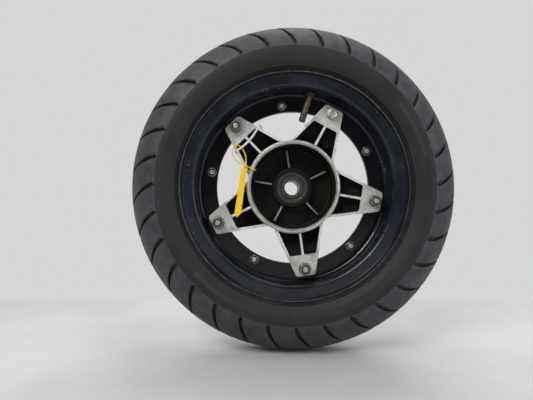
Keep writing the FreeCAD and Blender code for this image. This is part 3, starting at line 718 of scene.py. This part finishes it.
def build_fasteners(material, nut_material):
    """Bolts from the back with nuts in front on four arms, one turned round, and the rim's own five."""
    studs = [a for k, a in enumerate(ARM_ANGLES) if k != SWAPPED_ARM]
    swapped = ARM_ANGLES[SWAPPED_ARM]
    between = [a + 36.0 for a in ARM_ANGLES]
    seat = ARM_FACE_Y - WASHER_T
    length = SHEET - seat + M8_NUT + BOLT_PROUD
    swapped_length = SHEET - ARM_FACE_Y + M8_NUT + BOLT_PROUD
    rim_length = 2 * SHEET + M7_NUT + BOLT_PROUD
    m8 = bolt_piece(M8_FLATS, M8_R, M8_HEAD, length, STUD_THREAD, M8_PITCH)
    m8_swapped = bolt_piece(M8_FLATS, M8_R, M8_HEAD, swapped_length, SWAPPED_THREAD, M8_PITCH)
    m8_nut = nut_piece(M8_FLATS, M8_R, M8_NUT)
    m7 = bolt_piece(M7_FLATS, M7_R, M7_HEAD, rim_length, RIM_THREAD, M7_PITCH)
    m7_nut = nut_piece(M7_FLATS, M7_R, M7_NUT)
    washer = washer_piece(M8_R, WASHER_R, WASHER_T)
    turns = [17.0, 48.0, 5.0, 31.0, 40.0]  # how far each hex happens to be turned, in degrees
    sets = (
        ("arm_bolts", [placed_on_circle(m8, a, SHEET, True, t) for a, t in zip(studs, turns)]),
        ("arm_washers", [placed_on_circle(washer, a, ARM_FACE_Y, True) for a in studs]),
        ("arm_nuts", [placed_on_circle(m8_nut, a, seat, True, t) for a, t in zip(studs, turns)]),
        ("arm_hex_bolt", [placed_on_circle(m8_swapped, swapped, ARM_FACE_Y, False, 22.0)]),
        ("arm_rear_nut", [placed_on_circle(m8_nut, swapped, SHEET, False, 8.0)]),
        ("rim_bolts", [placed_on_circle(m7, a, SHEET, True, t) for a, t in zip(between, turns)]),
        ("rim_nuts", [placed_on_circle(m7_nut, a, -SHEET, True, t) for a, t in zip(between, turns)]))
    for node, pieces in sets:
        points, faces = joined(pieces)
        surface = nut_material if node.endswith("nuts") else material
        made = mesh_object(f"{node}_detail", points, faces, surface, "wheel", (node,), "zinc_steel")
        crease_shade(made, 32.0)


def crease_shade(piece, degrees):
    """Smooth shading that keeps every edge sharper than the angle crisp."""
    mesh = piece.data
    limit = math.cos(math.radians(degrees))
    normals = {}
    for polygon in mesh.polygons:
        for key in polygon.edge_keys:
            normals.setdefault(key, []).append(polygon.normal)
    for edge in mesh.edges:
        sides = normals.get(tuple(sorted(edge.vertices)), [])
        edge.use_edge_sharp = len(sides) == 2 and sides[0].dot(sides[1]) < limit


# ---- cable tie ----
def tie_point(along, lateral, y):
    """A point given by its distance out along the tied arm, its distance across it, and y."""
    a = math.radians(ARM_ANGLES[TIED_ARM])
    return (along * math.cos(a) - lateral * math.sin(a), y, along * math.sin(a) + lateral * math.cos(a))


def tie_loop():
    """The loop seen along the arm, as (across, y): a rectangle with rounded corners."""
    high, low = TIE_HIGH - TIE_CORNER, TIE_LOW + TIE_CORNER
    front, back = TIE_FRONT_Y + TIE_CORNER, TIE_BACK_Y - TIE_CORNER
    loop = []
    for across, y, start in ((high, front, -90), (high, back, 0), (low, back, 90), (low, front, 180)):
        for k in range(9):
            a = math.radians(start + 90 * k / 8)
            loop.append((across + TIE_CORNER * math.cos(a), y + TIE_CORNER * math.sin(a)))
    return np.array(loop + loop[:1])


def band_outline(tooth):
    """Section of the tie's band: a toothed channel inside, a slight hollow outside."""
    w, t, ease = TIE_HALF_W, TIE_HALF_T, TIE_EASE
    return [(-w, -t + ease), (-w + ease, -t), (-0.9, -t), (-0.8, -t + tooth), (0.8, -t + tooth), (0.9, -t),
            (w - ease, -t), (w, -t + ease), (w, t - ease), (w - ease, t), (0.7, t), (0.0, t - 0.12),
            (-0.7, t), (-w + ease, t), (-w, t - ease)]


def build_tie(material):
    """A loose loop round the tied arm: its front bows towards the hub, clear of the arm's flanks."""
    loop = tie_loop()
    along = np.concatenate([[0], np.cumsum(np.linalg.norm(np.diff(loop, axis=0), axis=1))])
    count = 220
    path = []
    for at in np.linspace(0, along[-1], count, endpoint=False):
        across, y = np.interp(at, along, loop[:, 0]), np.interp(at, along, loop[:, 1])
        bow = TIE_BOW_R + TIE_BOW_RISE * (across + TIE_BOW_AT) ** 2
        share = min(1.0, max(0.0, (TIE_BACK_Y - y) / (TIE_BACK_Y - TIE_FRONT_Y)))
        path.append(tie_point(TIE_R + (bow - TIE_R) * share, -across, y))
    outlines = [band_outline(TIE_TOOTH if k % 2 else 0.0) for k in range(count)]
    band = swept_inwards(path, outlines, tie_point(84.0, 0.0, -2.5))
    made = mesh_object("cable_tie_band", *joined([band, tie_head()]), material, "wheel", ("cable_tie",),
                       "tie_nylon")
    crease_shade(made, 40.0)


def swept_inwards(path, outlines, middle):
    """Like swept, for a closed loop round the tied arm: each outline's up looks away from its middle."""
    path = np.array(path)
    middle = np.array(middle)
    ahead = np.roll(path, -1, axis=0) - np.roll(path, 1, axis=0)
    ahead /= np.linalg.norm(ahead, axis=1)[:, None]
    side = np.array(tie_point(1.0, 0.0, 0.0))
    points = []
    for centre, forward, outline in zip(path, ahead, outlines):
        up = np.cross(side, forward)
        up /= np.linalg.norm(up)
        if up.dot(centre - middle) < 0:
            up = -up
        points += [tuple(centre + side * u + up * v) for u, v in outline]
    return points, strip_faces(len(path), len(outlines[0]), closed=True)


def tie_head():
    """The small ratchet box of the tie, behind the arm, its front and back edges eased."""
    points = []
    for y, grow in ((6.9, -0.3), (7.2, 0.0), (9.2, 0.0), (9.6, -0.35)):
        long, wide = TIE_HEAD_LONG + grow, TIE_HEAD_WIDE + grow
        points += [tie_point(TIE_R + u * long, TIE_HEAD_AT + v * wide, y)
                   for u, v in ((-1, -1), (1, -1), (1, 1), (-1, 1))]
    return capped(points, strip_faces(4, 4), 4)


# ---- label ----
def build_label(material):
    """A folded plastic strip with a rolled right edge, and its own strap looped through the tie."""
    top_left, top_right = np.array((-67.3, 22.9)), np.array((-59.4, 26.8))
    low_left, low_right = np.array((-76.2, -36.4)), np.array((-67.4, -34.6))
    tip = np.array((-73.0, -40.2))
    roll_height, roll_at, roll_width = 0.55, 0.90, 0.10
    long_steps, wide_steps = 60, 14
    front, back = [], []
    for i in range(long_steps + 1):
        v = i / long_steps
        body = min(v / LABEL_BODY, 1.0)
        left = top_left + (low_left - top_left) * body
        right = top_right + (low_right - top_right) * body
        if v > LABEL_BODY:
            close = 0.86 * (v - LABEL_BODY) / (1 - LABEL_BODY)
            left, right = left + (tip - left) * close, right + (tip - right) * close
        left = left + np.array((0.22, 0.0)) * math.sin(i * 1.9) * (0.3 + v)
        for k in range(wide_steps + 1):
            u = k / wide_steps
            x, z = left + (right - left) * u
            roll = roll_height * math.exp(-((u - roll_at) / roll_width) ** 2)
            dent = 0.14 * math.sin(9 * u + 5 * v) + 0.10 * math.sin(23 * v + 2.5)
            front.append((x, LABEL_Y - roll - dent * 0.6, z))
            back.append((x, LABEL_Y + LABEL_THICK - 0.2 * roll - dent * 0.3, z))
    plate = front + back, sheet_faces(long_steps, wide_steps + 1)
    made = mesh_object("label_strip", *joined([plate, label_strap()]), material, "label", ("label",),
                       "label_plastic")
    crease_shade(made, 45.0)


def label_strap():
    """The label's own strap, finely toothed, a little flatter than round and thinner at its free end."""
    path = smooth_path(STRAP_PATH, 240)
    outlines = []
    for i in range(len(path)):
        taper = min(1.0, 0.55 + (len(path) - 1 - i) / 12.0)
        tooth = STRAP_TOOTH if i % 4 < 2 else 0.0
        reach = (STRAP_R - tooth) * taper
        around = [math.radians(a) for a in range(0, 360, 24)]
        outlines.append([(reach * math.cos(a), STRAP_FLAT * reach * math.sin(a)) for a in around])
    return swept(path, outlines)


def smooth_path(points, count):
    """Evenly spaced points on a smooth curve through points in space."""
    path = np.array(points, dtype=float)
    places = np.arange(len(path)) * 1000.0
    flat = [curve_through(np.column_stack([places, path[:, k]]), 4 * count) for k in range(3)]
    marks = np.linspace(0, (len(path) - 1) * 1000.0, 4 * count)
    fine = np.column_stack([np.interp(marks, part[:, 0], part[:, 1]) for part in flat])
    along = np.concatenate([[0], np.cumsum(np.linalg.norm(np.diff(fine, axis=0), axis=1))])
    wanted = np.linspace(0, along[-1], count)
    return np.column_stack([np.interp(wanted, along, fine[:, k]) for k in range(3)])


# ---- plain moulded panels on the sidewall ----
def side_surface_y(radius):
    """Depth of the moulded sidewall at a radius, on the -Y side."""
    return float(np.interp(radius, SIDE_CURVE[::-1, 0], SIDE_CURVE[::-1, 1]))


def panel_piece(start, end, inner, outer, proud, mirror):
    """A thin raised arc between two turns and two radii, closed at its edges, following the sidewall."""
    long_steps = max(6, int(end - start))
    radii = np.linspace(inner, outer, 9)
    top, low = [], []
    for i in range(long_steps + 1):
        turn = math.radians(start + (end - start) * i / long_steps)
        for r in radii:
            y = side_surface_y(r)
            for rows, lift in ((top, proud), (low, -PANEL_SUNK)):
                rows.append((r * math.cos(turn), mirror * (y - lift), r * math.sin(turn)))
    return top + low, sheet_faces(long_steps, len(radii))


def build_panels(material):
    """Hatched panels and six small bars, on both sidewalls; each panel is (start, end, inner, outer)."""
    panels = [(101.0, 148.0, 157.0, 163.5), (221.0, 259.0, 157.0, 162.5), (283.0, 318.0, 156.5, 163.0),
              (12.0, 38.0, 157.5, 162.5)]
    pieces = []
    for mirror in (1, -1):
        pieces += [panel_piece(*panel, PANEL_PROUD, mirror) for panel in panels]
        pieces += [panel_piece(turn, turn + BAR_TURN, BAR_IN, BAR_OUT, BAR_PROUD, mirror)
                   for turn in range(7, 367, 60)]
    made = mesh_object("sidewall_panels", *joined(pieces), material, "wheel", (), "tyre")
    crease_shade(made, 35.0)


# ---- stage, light and camera ----
def build_stage(material):
    corners = [(-FLOOR_REACH, -FLOOR_REACH, FLOOR_Z), (FLOOR_REACH, -FLOOR_REACH, FLOOR_Z),
               (FLOOR_REACH, FLOOR_BACK, FLOOR_Z), (-FLOOR_REACH, FLOOR_BACK, FLOOR_Z)]
    mesh = bpy.data.meshes.new("floor")
    mesh.from_pydata(corners, [], [(0, 1, 2, 3)])
    mesh.materials.append(material)
    floor = bpy.data.objects.new("floor", mesh)
    bpy.context.scene.collection.objects.link(floor)


def area_light(name, at, aim, size, power, tint=(1.0, 1.0, 1.0)):
    data = bpy.data.lights.new(name, "AREA")
    data.shape = "RECTANGLE"
    data.size, data.size_y = size
    data.energy = power
    data.color = tint
    light = bpy.data.objects.new(name, data)
    bpy.context.scene.collection.objects.link(light)
    light.location = at
    light.rotation_euler = (Vector(aim) - Vector(at)).to_track_quat("-Z", "Y").to_euler()


def build_lights():
    """A pale room, bright behind the wheel and below, dimmer on the drum side, with four soft lights."""
    world = bpy.data.worlds.new("studio")
    bpy.context.scene.world = world
    world.use_nodes = True
    nodes, links = world.node_tree.nodes, world.node_tree.links
    background = nodes["Background"]
    background.inputs["Color"].default_value = (0.86, 0.865, 0.855, 1.0)
    direction = nodes.new("ShaderNodeTexCoord")
    parts = nodes.new("ShaderNodeSeparateXYZ")
    links.new(direction.outputs["Generated"], parts.inputs[0])
    brightest = nodes.new("ShaderNodeMath")
    brightest.operation = "MAXIMUM"
    for slot, (axis, dim_at, bright_at) in enumerate(((1, -0.35, 0.55), (2, 0.0, -0.05))):
        fade = nodes.new("ShaderNodeMapRange")
        fade.interpolation_type = "SMOOTHSTEP"
        for socket, number in zip(list(fade.inputs)[1:5], (dim_at, bright_at, ROOM_DIM, ROOM_BRIGHT)):
            socket.default_value = number
        links.new(parts.outputs[axis], fade.inputs[0])
        links.new(fade.outputs[0], brightest.inputs[slot])
    links.new(brightest.outputs[0], background.inputs["Strength"])
    bpy.context.scene.view_settings.view_transform = "Standard"
    area_light("key", (-1.0, -1.5, 1.5), (0, 0, 0), (1.3, 0.9), 36.0)
    area_light("fill", (1.6, -1.3, 0.6), (0, 0, 0), (1.2, 1.2), 13.0, (0.93, 0.96, 1.0))
    area_light("top", (0.2, 0.1, 1.6), (0, 0, 0), (1.6, 0.8), 10.0)
    area_light("back", (0.4, 1.6, 0.9), (0, 0, 0), (1.4, 1.0), 16.0)


def build_camera():
    data = bpy.data.cameras.new("camera")
    data.lens = LENS_MM
    data.clip_start = 0.01
    camera = bpy.data.objects.new("camera", data)
    bpy.context.scene.collection.objects.link(camera)
    camera.location = CAMERA_AT
    camera.rotation_euler = Vector(CAMERA_LOOKS).to_track_quat("-Z", "Y").to_euler()
    bpy.context.scene.camera = camera


# ---- dress the CAD nodes ----
def dress(material, *nodes):
    for node in nodes:
        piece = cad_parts[node]
        piece.data.materials.clear()
        piece.data.materials.append(material)


RUBBER = tyre_rubber()
STEEL = bearing_steel()
BRASS = old_brass()
build_tyre(RUBBER)
build_panels(moulded_rubber())
build_fasteners(dull_zinc(), dull_zinc("dirty_zinc", 0.38))
build_tie(nylon())
build_label(label_plastic())
dress(black_paint(), "rim_front_half", "rim_rear_half")
dress(cast_hub(), "hub_casting")
dress(turned_iron(), "brake_liner")
dress(STEEL, "front_inner_race", "front_outer_race", "rear_inner_race", "rear_outer_race", "spacer_tube",
      "front_balls", "rear_balls", "front_cage", "rear_cage")
dress(greasy_seal(), "front_seals", "rear_seals")
dress(BRASS, "valve_stem", "valve_locknut", "valve_pin")
dress(black_plastic(), "valve_cap")
dress(RUBBER, "inner_tube")
build_stage(studio_floor())
build_lights()
build_camera()
